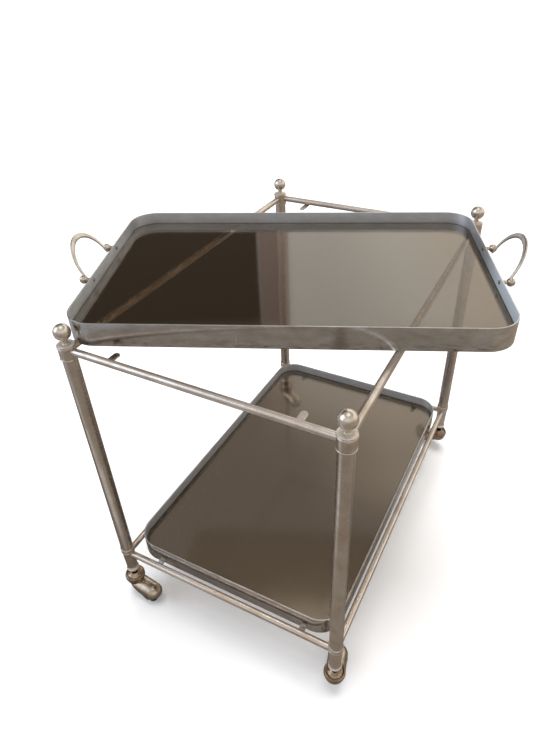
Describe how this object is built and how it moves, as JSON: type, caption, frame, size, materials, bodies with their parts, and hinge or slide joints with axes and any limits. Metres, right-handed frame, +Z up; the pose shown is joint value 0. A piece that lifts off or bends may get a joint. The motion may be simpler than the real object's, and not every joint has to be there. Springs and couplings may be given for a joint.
{
  "type": "bar cart",
  "caption": "Two-tier bar cart of nickelled tube with a lift-off handled glass serving tray, a lower glass tray, ball finials and hooded swivel casters.",
  "frame": {"origin": "on the floor, below the middle of the whole cart's box", "axes": "+X along the short side to the right, +Y along the long side to the rear, +Z up"},
  "size_m": [0.799, 0.7986, 0.7452],
  "materials": {
    "tube_nickel": "satin nickel plate, worn warm",
    "fitting_nickel": "turned and nickel plated",
    "rim_nickel": "dulled nickel plate with fine scratches",
    "handle_nickel": "polished nickel plate, worn warm",
    "smoked_glass": "smoked, with ground edges",
    "caster_bronze": "bronze brown plate, rubbed",
    "pintle_steel": "dark oiled steel",
    "axle_steel": "plain steel",
    "wheel_rubber": "hard dark grey rubber"
  },
  "bodies": {
    "frame": {"post_front_left": "tube_nickel", "upper_fitting_front_left": "fitting_nickel", "finial_front_left": "fitting_nickel", "lower_fitting_front_left": "fitting_nickel", "caster_pintle_front_left": "pintle_steel", "post_front_right": "tube_nickel", "upper_fitting_front_right": "fitting_nickel", "finial_front_right": "fitting_nickel", "lower_fitting_front_right": "fitting_nickel", "caster_pintle_front_right": "pintle_steel", "post_rear_right": "tube_nickel", "upper_fitting_rear_right": "fitting_nickel", "finial_rear_right": "fitting_nickel", "lower_fitting_rear_right": "fitting_nickel", "caster_pintle_rear_right": "pintle_steel", "post_rear_left": "tube_nickel", "upper_fitting_rear_left": "fitting_nickel", "finial_rear_left": "fitting_nickel", "lower_fitting_rear_left": "fitting_nickel", "caster_pintle_rear_left": "pintle_steel", "upper_rail_front": "tube_nickel", "upper_rail_rear": "tube_nickel", "upper_rail_left": "tube_nickel", "upper_rail_right": "tube_nickel", "lower_rail_front": "tube_nickel", "lower_rail_rear": "tube_nickel", "lower_rail_left": "tube_nickel", "lower_rail_right": "tube_nickel"},
    "serving_tray": {"serving_tray_rim": "rim_nickel", "serving_tray_glass": "smoked_glass", "handle_left": "handle_nickel", "handle_knob_left_front": "handle_nickel", "handle_screw_left_front": "handle_nickel", "handle_knob_left_rear": "handle_nickel", "handle_screw_left_rear": "handle_nickel", "handle_right": "handle_nickel", "handle_knob_right_front": "handle_nickel", "handle_screw_right_front": "handle_nickel", "handle_knob_right_rear": "handle_nickel", "handle_screw_right_rear": "handle_nickel"},
    "lower_tray": {"lower_tray_rim": "rim_nickel", "lower_tray_glass": "smoked_glass"},
    "caster_front_left": {"caster_cup_front_left": "caster_bronze", "caster_hood_front_left": "caster_bronze", "caster_axle_front_left": "axle_steel"},
    "wheel_front_left": {"caster_wheel_front_left": "wheel_rubber"},
    "caster_front_right": {"caster_cup_front_right": "caster_bronze", "caster_hood_front_right": "caster_bronze", "caster_axle_front_right": "axle_steel"},
    "wheel_front_right": {"caster_wheel_front_right": "wheel_rubber"},
    "caster_rear_right": {"caster_cup_rear_right": "caster_bronze", "caster_hood_rear_right": "caster_bronze", "caster_axle_rear_right": "axle_steel"},
    "wheel_rear_right": {"caster_wheel_rear_right": "wheel_rubber"},
    "caster_rear_left": {"caster_cup_rear_left": "caster_bronze", "caster_hood_rear_left": "caster_bronze", "caster_axle_rear_left": "axle_steel"},
    "wheel_rear_left": {"caster_wheel_rear_left": "wheel_rubber"}
  },
  "joints": [
    {"name": "serving_tray_lift", "type": "slide", "parent": "frame", "child": "serving_tray", "axis": [0, 0, 1], "range_m": [0, 0.25]},
    {"name": "lower_tray_lift", "type": "slide", "parent": "frame", "child": "lower_tray", "axis": [0, 0, 1], "range_m": [0, 0.477]},
    {"name": "caster_swivel_front_left", "type": "hinge", "parent": "frame", "child": "caster_front_left", "pos_m": [-0.23076, -0.37476, 0.05], "axis": [0, 0, 1], "continuous": true},
    {"name": "wheel_spin_front_left", "type": "hinge", "parent": "caster_front_left", "child": "wheel_front_left", "pos_m": [-0.1866, -0.3794, 0.019], "axis": [0.1045, 0.9945, 0], "continuous": true},
    {"name": "caster_swivel_front_right", "type": "hinge", "parent": "frame", "child": "caster_front_right", "pos_m": [0.24774, -0.37476, 0.05], "axis": [0, 0, 1], "continuous": true},
    {"name": "wheel_spin_front_right", "type": "hinge", "parent": "caster_front_right", "child": "wheel_front_right", "pos_m": [0.237, -0.33168, 0.019], "axis": [-0.9703, -0.2419, 0], "continuous": true},
    {"name": "caster_swivel_rear_right", "type": "hinge", "parent": "frame", "child": "caster_rear_right", "pos_m": [0.24774, 0.36474, 0.05], "axis": [0, 0, 1], "continuous": true},
    {"name": "wheel_spin_rear_right", "type": "hinge", "parent": "caster_rear_right", "child": "wheel_rear_right", "pos_m": [0.20551, 0.37846, 0.019], "axis": [-0.309, -0.9511, 0], "continuous": true},
    {"name": "caster_swivel_rear_left", "type": "hinge", "parent": "frame", "child": "caster_rear_left", "pos_m": [-0.23076, 0.36474, 0.05], "axis": [0, 0, 1], "continuous": true},
    {"name": "wheel_spin_rear_left", "type": "hinge", "parent": "caster_rear_left", "child": "wheel_rear_left", "pos_m": [-0.19193, 0.34321, 0.019], "axis": [0.4848, 0.8746, 0], "continuous": true}
  ]
}
